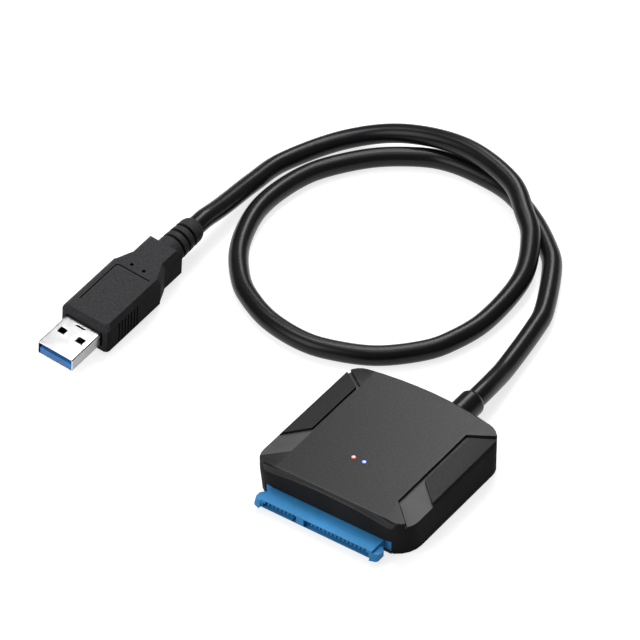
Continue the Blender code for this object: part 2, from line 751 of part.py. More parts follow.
def make_board():
    """The circuit board, notched round the jack and drilled for the posts' locating holes."""
    low = (-BOARD_HALF_WIDTH, BOARD_FRONT_Y, BOARD_BOTTOM)
    board = box("circuit_board", low, (BOARD_HALF_WIDTH, BOARD_BACK_Y, BOARD_TOP), "board_green")
    half = JACK_WIDTH / 2 + GAP
    front = jack_front() - JACK_LENGTH - GAP
    notch_low = (JACK_X - half, front, BOARD_BOTTOM - PAST)
    cut(board, box("jack_notch", notch_low, (JACK_X + half, BOARD_BACK_Y + PAST, BOARD_TOP + PAST)))
    return board


def small_part(name, centre, size, finish, edge=0.0):
    """A block on the board, with a sloped top edge if one is given."""
    (x, y), (width, depth, height) = centre, size
    rings = []
    levels = [(0.0, 0.0), (height - edge, 0.0), (height, edge)] if edge else [(0.0, 0.0), (height, 0.0)]
    for z, inset in levels:
        a, b = width / 2 - inset, depth / 2 - inset
        plan = [(x - a, y - b), (x + a, y - b), (x + a, y + b), (x - a, y + b)]
        rings.append(ring_at(plan, PART_SEAT + z))
    return loft(name, rings, finish)


def make_board_parts():
    small_part("bridge_chip", (0.0020, 0.0010), (0.0070, 0.0070, 0.0009), "chip_black", 0.0001)
    small_part("memory_chip", (0.0110, -0.0060), (0.0050, 0.0040, 0.0014), "chip_black", 0.0003)
    small_part("voltage_regulator", (-0.0120, -0.0080), (0.0030, 0.0030, 0.0010), "chip_black", 0.0001)
    small_part("crystal", (0.0100, 0.0020), (0.0032, 0.0025, 0.0008), "tin_metal", 0.0001)
    small_part("power_inductor", (-0.0125, 0.0000), (0.0050, 0.0050, 0.0024), "chip_black", 0.0005)
    small_part("ceramic_capacitor_1", (-0.0060, -0.0040), (0.0032, 0.0016, 0.0012), "ceramic_tan")
    small_part("ceramic_capacitor_2", (0.0030, 0.0085), (0.0020, 0.0012, 0.0009), "ceramic_tan")
    can = [(0.0, 0.0025), (0.0009, 0.0025), (0.0012, 0.0023)]
    can += [(0.0015, 0.0025), (0.0048, 0.0025), (0.0050, 0.0023)]
    turned("electrolytic_capacitor", can, (0.0155, 0.0080, PART_SEAT), (0, 0, 1), "tin_metal", 20)


def make_lights():
    """Two small lamps on the board, each with a clear pipe that carries its light up to the roof."""
    lamp_height = 0.0007
    for word, x in zip(("red", "blue"), light_xs()):
        finish = "light_" + word
        small_part("lamp_" + word, (x, LIGHT_Y), (0.0016, 0.0010, lamp_height), finish)
        profile = [
            (PART_SEAT + lamp_height + GAP, LIGHT_PIPE_RADIUS),
            (CEILING - GAP - 0.0008, LIGHT_PIPE_RADIUS),
            (CEILING - GAP - 0.0008, LIGHT_PIPE_COLLAR),
            (CEILING - GAP, LIGHT_PIPE_COLLAR),
            (CEILING - GAP, LIGHT_PIPE_RADIUS),
            (CASE_HEIGHT, LIGHT_PIPE_RADIUS),
        ]
        turned("light_pipe_" + word, profile, (x, LIGHT_Y, 0), (0, 0, 1), finish, 16)


def jack_front():
    """The y of the jack body's face, just inside the bowed wall at the body's outer corner."""
    return case_back(abs(JACK_X) + JACK_WIDTH / 2) - WALL - GAP


def make_jack():
    """The barrel jack: a block with a round collar in the wall, a centre pin and a sprung side contact."""
    face = jack_front()
    half = JACK_WIDTH / 2
    low = (JACK_X - half, face - JACK_LENGTH, JACK_LOW)
    body = box("dc_jack_body", low, (JACK_X + half, face, JACK_TOP), "jack_black")
    centre = (JACK_X, 0, JACK_AXIS_Z)
    lip = case_back(abs(JACK_X) + JACK_COLLAR_RADIUS)
    collar = [(face - WALL, JACK_COLLAR_RADIUS), (lip, JACK_COLLAR_RADIUS)]
    join(body, turned("jack_collar", collar, centre, (0, 1, 0), steps=32))
    floor = lip - JACK_BORE_DEPTH
    bore = [(floor, JACK_BORE_RADIUS), (lip + PAST, JACK_BORE_RADIUS)]
    cut(body, turned("jack_bore", bore, centre, (0, 1, 0), steps=32))

    spring_half = 0.0010
    spring_room = 0.0007
    spring_top = JACK_AXIS_Z - JACK_BORE_RADIUS * 0.9
    room_low = (JACK_X - spring_half - GAP, floor, spring_top - spring_room - GAP)
    room_high = (JACK_X + spring_half + GAP, lip - 0.0020, JACK_AXIS_Z - JACK_BORE_RADIUS / 2)
    cut(body, box("spring_room", room_low, room_high))
    start = floor + GAP
    end = lip - 0.0020 - GAP
    path = [
        (start, spring_top - 0.0004),
        (start + 0.0020, spring_top - 0.0004),
        ((start + end) / 2, spring_top + 0.0002),
        (end - 0.0010, spring_top - 0.0003),
        (end, spring_top - 0.0003),
    ]
    section = contact_strip(path, 0.00025)
    prism_x("dc_jack_spring", section, JACK_X - spring_half, JACK_X + spring_half, "tin_metal")

    tip = lip - JACK_PIN_SHORT
    pin = [
        (floor + GAP, JACK_PIN_RADIUS),
        (tip - JACK_PIN_RADIUS / 2, JACK_PIN_RADIUS),
        (tip, JACK_PIN_RADIUS / 2),
    ]
    turned("dc_jack_pin", pin, centre, (0, 1, 0), "tin_metal", 20)


def gland_end():
    return Vector((GLAND_X, case_back(GLAND_X) + GLAND_LENGTH, GLAND_Z))


def make_gland():
    """The strain relief moulded on the cable: an inner flange, a neck in the wall and a round-ended sleeve."""
    inner_face = case_back(GLAND_X + GLAND_FLANGE_RADIUS) - WALL - GAP
    outer_face = case_back(GLAND_X - GLAND_RADIUS) + GAP
    end = gland_end().y
    soft = GLAND_RADIUS - CABLE_RADIUS
    profile = [
        (inner_face - 0.0020, GLAND_FLANGE_RADIUS),
        (inner_face, GLAND_FLANGE_RADIUS),
        (inner_face, GLAND_NECK_RADIUS),
        (outer_face, GLAND_NECK_RADIUS),
        (outer_face, GLAND_RADIUS),
        (end - 1.4 * soft, GLAND_RADIUS),
        (end - 0.7 * soft, GLAND_RADIUS - 0.25 * soft),
        (end - 0.2 * soft, GLAND_RADIUS - 0.6 * soft),
        (end, CABLE_RADIUS),
    ]
    turned("cable_gland", profile, (GLAND_X, 0, GLAND_Z), (0, 1, 0), "cable_black")
    return inner_face - 0.0020


def smooth_route(points, step):
    """Points at an even step along the smooth curve through a route. Its first and last point only steer it."""
    route = [Vector(point) for point in points]
    fine = []
    for i in range(1, len(route) - 2):
        a, b, c, d = route[i - 1 : i + 3]
        for k in range(24):
            t = k / 24
            bent = (2 * a - 5 * b + 4 * c - d) * t**2 + (3 * b - a - 3 * c + d) * t**3
            fine.append(0.5 * (2 * b + (c - a) * t + bent))
    fine.append(route[-2])
    lengths = [0.0]
    for before, after in zip(fine, fine[1:]):
        lengths.append(lengths[-1] + (after - before).length)
    count = max(2, round(lengths[-1] / step))
    even = []
    at = 0
    for i in range(count + 1):
        wanted = lengths[-1] * i / count
        while at < len(fine) - 2 and lengths[at + 1] < wanted:
            at += 1
        share = (wanted - lengths[at]) / (lengths[at + 1] - lengths[at])
        even.append(fine[at].lerp(fine[at + 1], share))
    return even


def tube(name, points, radius, finish, resolution):
    curve = bpy.data.curves.new(name, "CURVE")
    curve.dimensions = "3D"
    curve.bevel_depth = radius
    curve.bevel_resolution = resolution
    curve.use_fill_caps = True
    spline = curve.splines.new("POLY")
    spline.points.add(len(points) - 1)
    for place, point in zip(spline.points, points):
        place.co = (*point, 1.0)
    curve.materials.append(material(finish))
    obj = bpy.data.objects.new(name, curve)
    bpy.context.scene.collection.objects.link(obj)
    return obj


# The cable's own route between the plug's boot and the gland: out past the back, over itself and round
CABLE_ROUTE = [
    (-0.0975, 0.0620, 0.0069),
    (-0.0984, 0.0780, 0.0047),
    (-0.0976, 0.0926, 0.0034),
    (-0.0891, 0.1110, 0.0034),
    (-0.0741, 0.1197, 0.0068),
    (-0.0542, 0.1212, 0.0097),
    (-0.0354, 0.1161, 0.0095),
    (-0.0244, 0.1073, 0.0081),
    (-0.0179, 0.1004, 0.0066),
    (-0.0118, 0.0866, 0.0041),
    (-0.0107, 0.0673, 0.0030),
    (-0.0137, 0.0536, 0.0030),
    (-0.0182, 0.0455, 0.0030),
    (-0.0273, 0.0368, 0.0030),
    (-0.0389, 0.0318, 0.0030),
    (-0.0481, 0.0305, 0.0030),
    (-0.0596, 0.0323, 0.0030),
    (-0.0693, 0.0367, 0.0030),
    (-0.0767, 0.0422, 0.0030),
    (-0.0849, 0.0527, 0.0030),
    (-0.0901, 0.0656, 0.0030),
    (-0.0915, 0.0768, 0.0030),
    (-0.0898, 0.0893, 0.0030),
    (-0.0858, 0.0986, 0.0030),
    (-0.0775, 0.1094, 0.0030),
    (-0.0670, 0.1171, 0.0030),
    (-0.0586, 0.1201, 0.0030),
    (-0.0483, 0.1203, 0.0030),
    (-0.0366, 0.1183, 0.0030),
    (-0.0245, 0.1118, 0.0030),
    (-0.0135, 0.1030, 0.0030),
    (-0.0078, 0.0961, 0.0030),
    (0.0001, 0.0802, 0.0030),
    (0.0024, 0.0713, 0.0030),
    (0.0052, 0.0535, 0.0034),
    (0.0064, 0.0450, 0.0046),
]


def make_cable():
    along = plug_matrix().to_3x3() @ Vector((0, 1, 0))
    start = plug_matrix() @ Vector((0, BOOT_END, 0)) + along * GAP
    end = gland_end() + Vector((0, GAP, 0))
    run_out = 0.0040
    points = [start, start + along * run_out, *CABLE_ROUTE, end + Vector((0, run_out, 0)), end]
    middle = smooth_route(points, CABLE_POINT_STEP)
    tube("cable", [start, *middle, end], CABLE_RADIUS, "cable_black", 3)


def make_wires(inner_face):
    """The cable's conductors, from the gland's inner face down to the back edge of the board."""
    finishes = ("wire_red", "wire_white", "case_black", "wire_white")
    names = ("wire_power", "wire_data", "wire_ground", "wire_superspeed")
    radius = 0.0005
    spread = 0.0016
    for i, (name, finish) in enumerate(zip(names, finishes)):
        x = GLAND_X + (i - 1.5) * spread
        start = (x, inner_face - GAP, GLAND_Z)
        seat = PART_SEAT + radius
        path = [
            start,
            (x, start[1] - 0.0012, GLAND_Z),
            (x, start[1] - 0.0028, (GLAND_Z + seat) / 2),
            (x, start[1] - 0.0044, seat),
            (x, start[1] - 0.0070, seat),
        ]
        tube(name, [Vector(point) for point in path], radius, finish, 1)


def plug_matrix():
    """Places the plug so that its lowest edge touches the surface that the housing stands on."""
    turn = Euler((PLUG_PITCH, PLUG_ROLL, 0.0)).to_matrix()
    half_x, half_z = GRIP_WIDTH / 2, GRIP_HEIGHT / 2
    corners = []
    for y in (GRIP_FRONT, GRIP_FRONT + GRIP_LENGTH):
        for x, z in ((half_x - GRIP_FOOT, -half_z), (half_x, GRIP_FOOT - half_z)):
            corners.append(turn @ Vector((x, y, z)))
    lift = -min(corner.z for corner in corners)
    return Matrix.Translation((PLUG_NOSE_X, PLUG_NOSE_Y, lift)) @ turn.to_4x4()


def grip_outline(inset):
    """The grip's plan: wide in front, narrowing to a neck at the back, with cut corners in front."""
    wide = GRIP_WIDTH / 2 - inset
    neck = GRIP_NECK_WIDTH / 2 - inset
    front = GRIP_FRONT + inset
    taper = GRIP_FRONT + GRIP_LENGTH
    corner = GRIP_CORNER
    back = GRIP_BACK - inset
    right = [
        (wide - corner, front),
        (wide - corner * 0.3, front + corner * 0.3),
        (wide, front + corner),
        (wide, taper - inset * 0.3),
        (wide - corner * 0.4, taper + corner * 0.5),
        (neck + corner * 0.4, taper + GRIP_TAPER - corner * 0.4),
        (neck, taper + GRIP_TAPER + corner * 0.4),
        (neck, back),
    ]
    return right + [(-x, y) for x, y in reversed(right)]


def make_grip(parent):
    """The moulded grip and boot, one piece: bevels, side slits, a sunk line, two dots and ring grooves."""
    half = GRIP_HEIGHT / 2
    levels = [
        (-half, GRIP_FOOT),
        (-half + GRIP_FOOT, 0.0),
        (half - GRIP_EDGE, 0.0),
        (half, GRIP_EDGE),
    ]
    grip = loft("usb_grip", [ring_at(grip_outline(inset), z) for z, inset in levels], "grip_black")
    tools = []

    profile = [(GRIP_BACK - PAST, BOOT_RADIUS)]
    ring_start = GRIP_BACK + BOOT_LENGTH - 0.0022 - BOOT_RING_COUNT * BOOT_RING_PITCH
    for i in range(BOOT_RING_COUNT):
        start = ring_start + i * BOOT_RING_PITCH
        radius = BOOT_RADIUS - 0.0001 * i
        profile += [
            (start, radius),
            (start, radius - BOOT_RING_DEPTH),
            (start + BOOT_RING_WIDTH, radius - BOOT_RING_DEPTH),
            (start + BOOT_RING_WIDTH, radius),
        ]
    tail = BOOT_RADIUS - 0.0001 * BOOT_RING_COUNT
    profile += [
        (BOOT_END - 0.0016, tail),
        (BOOT_END - 0.0006, tail - 0.0003),
        (BOOT_END, CABLE_RADIUS + 0.0003),
    ]
    boot = turned("boot", profile, (0, 0, 0), (0, 1, 0))
    join(grip, boot)
    tools.append(boot)

    room_x = SHELL_WIDTH / 2 + GAP
    room_z = SHELL_HEIGHT / 2 + GAP
    room_high = (room_x, GRIP_FRONT + SHELL_IN + GAP, room_z)
    room = box("shell_room", (-room_x, GRIP_FRONT - PAST, -room_z), room_high)
    slits = []
    for i in range(SLIT_COUNT):
        y = GRIP_FRONT + SLIT_START + i * SLIT_PITCH
        for side in (-1, 1):
            xs = sorted((side * (GRIP_WIDTH / 2 - SLIT_DEPTH), side * (GRIP_WIDTH / 2 + PAST)))
            low = (xs[0], y, GRIP_FOOT + GAP - half)
            slits.append((low, (xs[1], y + SLIT_WIDTH, half - GRIP_EDGE - GAP / 2)))
    slit_tool = boxes("grip_slits", slits)
    x0 = -GRIP_LINE_X
    y0 = GRIP_FRONT + GRIP_LINE_START
    y1 = GRIP_FRONT + GRIP_LINE_END
    width = GRIP_LINE_WIDTH
    line_plan = [
        (x0, y0),
        (x0 + width, y0),
        (x0 + width, y1 - width * 2),
        (x0 + width * 2, y1 - width),
        (GRIP_LINE_X, y1 - width),
        (GRIP_LINE_X, y1),
        (x0 + width * 1.6, y1),
        (x0, y1 - width * 1.6),
    ]
    line = prism_z("grip_line", line_plan, half - GRIP_LINE_DEPTH, half + PAST)
    cut(grip, room, slit_tool, line)
    tools += [room, slit_tool, line]
    for side in (-1, 1):
        profile = [(half - GRIP_DOT_DEPTH, GRIP_DOT_RADIUS), (half + PAST, GRIP_DOT_RADIUS)]
        centre = (side * GRIP_DOT_X, GRIP_FRONT + GRIP_DOT_Y, 0)
        dot = turned("grip_dot", profile, centre, (0, 0, 1), steps=12)
        cut(grip, dot)
        tools.append(dot)
    for obj in [grip, *tools]:
        obj.parent = parent


def rounded_section(width, height, corner, steps=3):
    """A rectangle in X and Z with round corners."""
    points = []
    for k, (sx, sz) in enumerate(((1, -1), (1, 1), (-1, 1), (-1, -1))):
        for i in range(steps + 1):
            angle = math.pi / 2 * (k - 1 + i / steps)
            x = sx * (width / 2 - corner) + corner * math.cos(angle)
            points.append((x, sz * (height / 2 - corner) + corner * math.sin(angle)))
    return points


def make_shell(parent):
    """The folded steel shell: a thin rectangular tube with two latch windows above and below."""
    end = SHELL_OUT + SHELL_IN
    outer = rounded_section(SHELL_WIDTH, SHELL_HEIGHT, SHELL_CORNER)
    shell = prism_y("usb_shell", outer, 0.0, end, "plug_steel")
    inner_width = SHELL_WIDTH - 2 * SHELL_WALL
    inner_height = SHELL_HEIGHT - 2 * SHELL_WALL
    inner = rounded_section(inner_width, inner_height, SHELL_CORNER - SHELL_WALL)
    bore = prism_y("shell_bore", inner, -PAST, end + PAST)
    windows = []
    for side in (-1, 1):
        x = side * WINDOW_X
        low = (x - WINDOW_WIDTH / 2, WINDOW_Y - WINDOW_LENGTH / 2, -SHELL_HEIGHT)
        windows.append((low, (x + WINDOW_WIDTH / 2, WINDOW_Y + WINDOW_LENGTH / 2, SHELL_HEIGHT)))
    dimple_low = (-DIMPLE_WIDTH / 2, DIMPLE_Y - DIMPLE_LENGTH / 2, 0.0)
    dimple_high = (DIMPLE_WIDTH / 2, DIMPLE_Y + DIMPLE_LENGTH / 2, SHELL_HEIGHT)
    windows.append((dimple_low, dimple_high))
    holes = boxes("shell_windows", windows)
    cut(shell, bore, holes)
    for obj in (shell, bore, holes):
        obj.parent = parent


def make_tongue(parent):
    """The blue insulator in the lower half of the shell, and its nine contacts."""
    half = SHELL_WIDTH / 2 - SHELL_WALL - GAP
    floor = -SHELL_HEIGHT / 2 + SHELL_WALL + GAP / 3
    top = floor + TONGUE_HEIGHT
    end = SHELL_OUT + SHELL_IN
    tongue = box("usb_insulator", (-half, TONGUE_SETBACK, floor), (half, end, top), "plug_blue")
    back_block = SHELL_HEIGHT / 2 - SHELL_WALL - GAP / 3
    rear = box("insulator_rear", (-half, SHELL_OUT - 0.0010, top - GAP), (half, end, back_block))
    join(tongue, rear)

    depth = PLUG_CONTACT_THICKNESS
    seat = top - depth
    groove_half = PLUG_CONTACT_WIDTH / 2 + GAP / 2
    grooves = []
    contacts = []
    for i in range(4):
        x = (i - 1.5) * PLUG_CONTACT_PITCH * (1.25 if i in (0, 3) else 1.0)
        low = (x - groove_half, TONGUE_SETBACK + 0.0008, seat - GAP / 2)
        grooves.append((low, (x + groove_half, 0.0088, top + PAST)))
        half_wide = PLUG_CONTACT_WIDTH / 2
        low = (x - half_wide, TONGUE_SETBACK + 0.0010, seat)
        high = (x + half_wide, 0.0086, top + GAP / 3)
        contacts.append(box(f"usb_contact_{i + 1}", low, high, "contact_gold"))
    for i in range(5):
        x = (i - 2) * PLUG_CONTACT_PITCH
        path = [(0.0094, top + GAP), (0.0102, top + 2.2 * GAP), (0.0110, top + GAP), (0.0116, top + GAP)]
        section = contact_strip(path, PLUG_CONTACT_THICKNESS)
        name = f"superspeed_contact_{i + 1}"
        contacts.append(prism_x(name, section, x - 0.0004, x + 0.0004, "contact_gold"))
    groove_tool = boxes("tongue_grooves", grooves)
    cut(tongue, groove_tool)
    for obj in (tongue, rear, groove_tool, *contacts):
        obj.parent = parent


def make_plug():
    frame = bpy.data.objects.new("plug_frame", None)
    bpy.context.scene.collection.objects.link(frame)
    frame.matrix_world = plug_matrix()
    make_grip(frame)
    make_shell(frame)
    make_tongue(frame)


def main():
    clear_scene()
    make_top_cover()
    make_bottom_cover()
    make_receptacle()
    make_receptacle_contacts()
    make_board()
    make_board_parts()
    make_lights()
    make_jack()
    make_wires(make_gland())
    make_plug()
    make_cable()


main()
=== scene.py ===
"""Looks of the USB to SATA adapter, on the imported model. Metres, +Z up, the floor at z = 0."""

import json
import math

import bmesh
import bpy
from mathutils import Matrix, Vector
from mathutils.bvhtree import BVHTree


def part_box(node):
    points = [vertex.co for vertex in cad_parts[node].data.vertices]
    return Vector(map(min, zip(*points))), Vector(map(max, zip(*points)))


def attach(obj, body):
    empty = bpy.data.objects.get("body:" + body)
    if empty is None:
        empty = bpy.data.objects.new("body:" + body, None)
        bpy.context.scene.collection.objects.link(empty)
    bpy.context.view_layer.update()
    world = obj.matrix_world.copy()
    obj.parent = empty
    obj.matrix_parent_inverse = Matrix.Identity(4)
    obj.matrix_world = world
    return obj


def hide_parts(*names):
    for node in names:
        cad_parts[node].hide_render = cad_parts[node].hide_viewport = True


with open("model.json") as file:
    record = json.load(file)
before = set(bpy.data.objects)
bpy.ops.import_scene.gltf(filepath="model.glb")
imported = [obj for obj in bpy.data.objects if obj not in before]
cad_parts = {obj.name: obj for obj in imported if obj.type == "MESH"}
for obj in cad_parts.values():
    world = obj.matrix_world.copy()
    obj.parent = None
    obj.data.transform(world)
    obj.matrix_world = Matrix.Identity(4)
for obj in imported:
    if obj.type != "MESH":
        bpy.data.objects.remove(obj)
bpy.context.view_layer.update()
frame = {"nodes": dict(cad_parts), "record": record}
nodes = frame["nodes"]

# Camera: what it looks at, its direction, distance and lens
VIEW_TARGET = Vector((-0.05049, 0.04351, 0.0))
VIEW_AZIMUTH = math.radians(35.17)
VIEW_ELEVATION = math.radians(40.0)
VIEW_DISTANCE = 1.379
VIEW_LENS = 278.4
VIEW_SENSOR = 36.0
VIEW_CLIP_START = 0.05
VIEW_CLIP_END = 20.0

# Lamps: name, place, what they point at, width and height, power
SCENE_MIDDLE = (-0.05, 0.04, 0.0)
HOUSING_MIDDLE = (0.0, 0.0, 0.0)
LAMPS = [
    ("overhead", (-0.06, 0.10, 0.56), SCENE_MIDDLE, (0.38, 0.38), 0.9),
    ("key", (-0.22, 0.225, 0.56), SCENE_MIDDLE, (0.44, 0.15), 2.0),
    ("low", (-0.225, 0.52, 0.48), HOUSING_MIDDLE, (0.20, 0.20), 1.5),
    ("front", (-0.5, -1.0, 0.8), SCENE_MIDDLE, (0.8, 0.8), 8.0),
]
WORLD_COLOUR = (1.0, 1.0, 1.0, 1.0)
WORLD_STRENGTH = 0.15

# Floor: half its width, its grey under the lamps, and what it adds where it is seen
FLOOR_REACH = 4.0
FLOOR_COLOUR = 0.42
FLOOR_GLOW = 0.76

# Cable: its size, and its run from the plug's boot to the housing's gland
CABLE_RADIUS = 0.0029
CABLE_ROUNDNESS = 8
CABLE_START = Vector((-0.09715, 0.04825, 0.00835))
CABLE_START_AXIS = Vector((0.00547, 0.99863, 0.05205))
CABLE_END = Vector((0.0070, 0.0347, 0.0054))
CABLE_RUN_OUT = 0.0040
CABLE_STEP = 0.0020
CABLE_ROUTE = [
    (-0.0975, 0.0620, 0.0069),
    (-0.0984, 0.0780, 0.0047),
    (-0.0976, 0.0926, 0.0034),
    (-0.0891, 0.1110, 0.0034),
    (-0.0741, 0.1197, 0.0068),
    (-0.0542, 0.1212, 0.0097),
    (-0.0354, 0.1161, 0.0095),
    (-0.0244, 0.1073, 0.0081),
    (-0.0179, 0.1004, 0.0066),
    (-0.0118, 0.0866, 0.0041),
    (-0.0107, 0.0673, 0.0030),
    (-0.0137, 0.0536, 0.0030),
    (-0.0182, 0.0455, 0.0030),
    (-0.0273, 0.0368, 0.0030),
    (-0.0389, 0.0318, 0.0030),
    (-0.0481, 0.0305, 0.0030),
    (-0.0596, 0.0323, 0.0030),
    (-0.0693, 0.0367, 0.0030),
    (-0.0767, 0.0422, 0.0030),
    (-0.0849, 0.0527, 0.0030),
    (-0.0901, 0.0656, 0.0030),
    (-0.0915, 0.0768, 0.0030),
    (-0.0898, 0.0893, 0.0030),
    (-0.0858, 0.0986, 0.0030),
    (-0.0775, 0.1094, 0.0030),
    (-0.0670, 0.1171, 0.0030),
    (-0.0586, 0.1201, 0.0030),
    (-0.0483, 0.1203, 0.0030),
    (-0.0366, 0.1183, 0.0030),
    (-0.0245, 0.1118, 0.0030),
    (-0.0135, 0.1030, 0.0030),
    (-0.0078, 0.0961, 0.0030),
    (0.0001, 0.0802, 0.0030),
    (0.0024, 0.0713, 0.0030),
    (0.0052, 0.0535, 0.0034),
    (0.0064, 0.0450, 0.0046),
]
ROUTE_FINENESS = 24

# The housing's side recesses, as the model has them: where their floors start and how they fall,
# how high the panels stand on them, and how exactly a face has to lie at either level
RECESS_INNER_X = 0.0172
RECESS_INNER_Z = 0.0111
RECESS_FALL = 0.141
RECESS_TILT = (0.90, 0.995)
FIELD_SLACK = 0.0003
PANEL_RISE = 0.0008
PANEL_SLACK = 0.0002

# The cove along the top of the housing's front: how far back, how low and how steep it goes. Its
# faces get a lighter copy of the case finish, a painted highlight along the rim
COVE_WIDTH = 0.0008
COVE_LOW = 0.0080
COVE_TILT = 0.05

# Faces that count as sides, by their normals: on the housing, the grip and the plug's shell. These
# sides get darker copies of their finishes, painted shade
HOUSING_SIDE_TILT = 0.75
GRIP_SIDE_TURN = 0.75
SHELL_SIDE_TURN = 0.7

# Where the grip's boot starts, and how far behind its front the plug's insulator turns dark,
# painted shade inside the plug
BOOT_START = 0.0349
INSIDE_START = 0.0020
INSIDE_FULL = 0.0035
INSIDE_PAINTED_SHADE = (0.004, 0.004, 0.005)

# Sunk faces: how many directions are tried, from how far off the face, how near something has
# to be to block one, and from which share of blocked ones on a face is sunk. Sunk faces get a
# near-black finish, painted shade in the hollows
SUNK_RAYS = 48
SUNK_OFFSET = 0.00002
HOUSING_SUNK_REACH = 0.0012
HOUSING_SUNK_SHARE = 0.42
HOUSING_GROOVE_AREA = 0.000030
GRIP_SUNK_REACH = 0.0009
GRIP_SUNK_SHARE = 0.30

# Rounded edges of the pieces that get a finished copy, and what such a copy needs
EDGE_ROUNDS = {
    "top_cover": 0.00015,
    "bottom_cover": 0.00015,
    "sata_receptacle": 0.00006,
    "usb_grip": 0.00015,
    "usb_shell": 0.00005,
    "usb_insulator": 0.00006,
    "cable_gland": 0.00015,
    "dc_jack_body": 0.00010,
}
ROUND_SEGMENTS = 2
ROUND_SHORTEST = 2.5
SHARP_ANGLE = math.radians(35)
FLAT_ANGLE = math.radians(0.6)
WELD = 0.000002

# What all plastics share: the sizes of their changes, and how far gloss and wear go
TONE_SIZE = 0.009
FLECK_GRAINS = 1.4
FLECK_SPAN = (0.25, 0.75)
GLOSS_SIZE = 0.0022
GLOSS_SWING = 0.015
RUB_SIZE = 0.0015
RUB_LEAST = 0.25
PLASTIC_EDGE = 0.0002

# What all metals share: spots of tarnish, drawn lines and brighter edges
TARNISH_SIZE = 0.0030
TARNISH_SPAN = (0.45, 0.75)
LINE_SIZE = 0.00025
METAL_EDGE = 0.0001
METAL_EDGE_SHINE = 1.08

# Worn edges: how far the rounded normal has turned where wear starts and where it is full
WEAR_START = 0.02
WEAR_FULL = 0.25
WEAR_SAMPLES = 6

# The indicator lights' pipes: a bright core, and the colour from the ring outward
LIGHTS = {
    "red": {"colour": (0.900, 0.060, 0.050), "core": (1.0, 0.92, 0.95)},
    "blue": {"colour": (0.060, 0.120, 0.900), "core": (0.88, 0.94, 1.0)},
}
LIGHT_CORE = 0.00025
LIGHT_RING = 0.00055
LIGHT_STRENGTH = 0.9

PLASTICS = {
    "case_black": {
        "name": "case",
        "colour": (0.023, 0.023, 0.023),
        "roughness": 0.29,
        "grain": 0.00045,
        "depth": 0.000016,
        "specular": 0.095,
        "fleck": 0.25,
    },
    # painted shade: a copy of the case finish with almost no reflection, so the upright faces stay
    # dark
    "case_side_painted_shade": {
        "name": "case_side_painted_shade",
        "colour": (0.026, 0.026, 0.027),
        "roughness": 0.45,
        "grain": 0.00035,
        "depth": 0.000008,
        "specular": 0.006,
    },
    "case_panel": {
        "name": "case_panel",
        "colour": (0.026, 0.026, 0.026),
        "roughness": 0.46,
        "grain": 0.00045,
        "depth": 0.000020,
        "specular": 0.08,
        "fleck": 0.20,
    },
    # painted highlight: a lighter copy of the case finish on the front cove, for the light line
    # along its rim
    "case_rim_painted_highlight": {
        "name": "case_rim_painted_highlight",
        "colour": (0.040, 0.040, 0.040),
        "roughness": 0.38,
        "grain": 0.00035,
        "depth": 0.000008,
        "specular": 0.12,
    },
    # painted light: a lighter copy of the case finish on the recess floors, for the light they
    # catch
    "case_field_painted_light": {
        "name": "case_field_painted_light",
        "colour": (0.080, 0.080, 0.080),
        "roughness": 0.38,
        "grain": 0.00030,
        "depth": 0.000005,
        "specular": 0.10,
    },
    # painted shade: a near-black finish for sunk faces, grooves, slits, dots and rings, dark for
    # the shade in them
    "groove": {
        "name": "groove",
        "colour": (0.003, 0.003, 0.003),
        "roughness": 0.60,
        "grain": 0.00030,
        "depth": 0.000006,
        "specular": 0.02,
    },
    "receptacle_blue": {
        "name": "receptacle",
        "colour": (0.050, 0.275, 0.590),
        "roughness": 0.38,
        "grain": 0.00040,
        "depth": 0.000004,
        "specular": 0.14,
    },
    "board_green": {
        "name": "board",
        "colour": (0.012, 0.110, 0.045),
        "roughness": 0.32,
        "grain": 0.00060,
        "depth": 0.000006,
        "spread": 0.25,
    },
    "chip_black": {
        "name": "chips",
        "colour": (0.020, 0.020, 0.022),
        "roughness": 0.55,
        "grain": 0.00012,
        "depth": 0.000006,
        "specular": 0.4,
    },
    "ceramic_tan": {
        "name": "ceramic",
        "colour": (0.420, 0.270, 0.150),
        "roughness": 0.42,
        "grain": 0.00020,
        "depth": 0.000004,
    },
    "jack_black": {
        "name": "jack",
        "colour": (0.018, 0.018, 0.019),
        "roughness": 0.38,
        "grain": 0.00030,
        "depth": 0.000006,
    },
    "cable_black": {
        "name": "jacket",
        "colour": (0.006, 0.006, 0.007),
        "roughness": 0.30,
        "grain": 0.00035,
        "depth": 0.000008,
        "specular": 0.22,
    },
    "plug_blue": {
        "name": "insulator",
        "colour": (0.040, 0.250, 0.700),
        "roughness": 0.34,
        "grain": 0.00040,
        "depth": 0.000003,
        "specular": 0.4,
    },
    "grip_black": {
        "name": "grip",
        "colour": (0.031, 0.031, 0.033),
        "roughness": 0.60,
        "grain": 0.00040,
        "depth": 0.000040,
        "specular": 0.08,
        "fleck": 0.32,
    },
    # painted shade: a darker copy of the grip finish with almost no reflection, for the grip's
    # sides
    "grip_side_painted_shade": {
        "name": "grip_side_painted_shade",
        "colour": (0.022, 0.022, 0.023),
        "roughness": 0.52,
        "grain": 0.00032,
        "depth": 0.000010,
        "specular": 0.008,
    },
    "wire_red": {
        "name": "red_wire",
        "colour": (0.500, 0.020, 0.020),
        "roughness": 0.40,
        "grain": 0.00030,
        "depth": 0.000004,
    },
    "wire_white": {
        "name": "white_wire",
        "colour": (0.750, 0.750, 0.740),
        "roughness": 0.40,
        "grain": 0.00030,
        "depth": 0.000004,
    },
}
for word, light in LIGHTS.items():
    PLASTICS["light_" + word] = {
        "name": "light_" + word,
        "colour": light["colour"],
        "roughness": 0.18,
        "grain": 0.00030,
        "depth": 0.000002,
        "spread": 0.10,
        "wear": 1.0,
    }

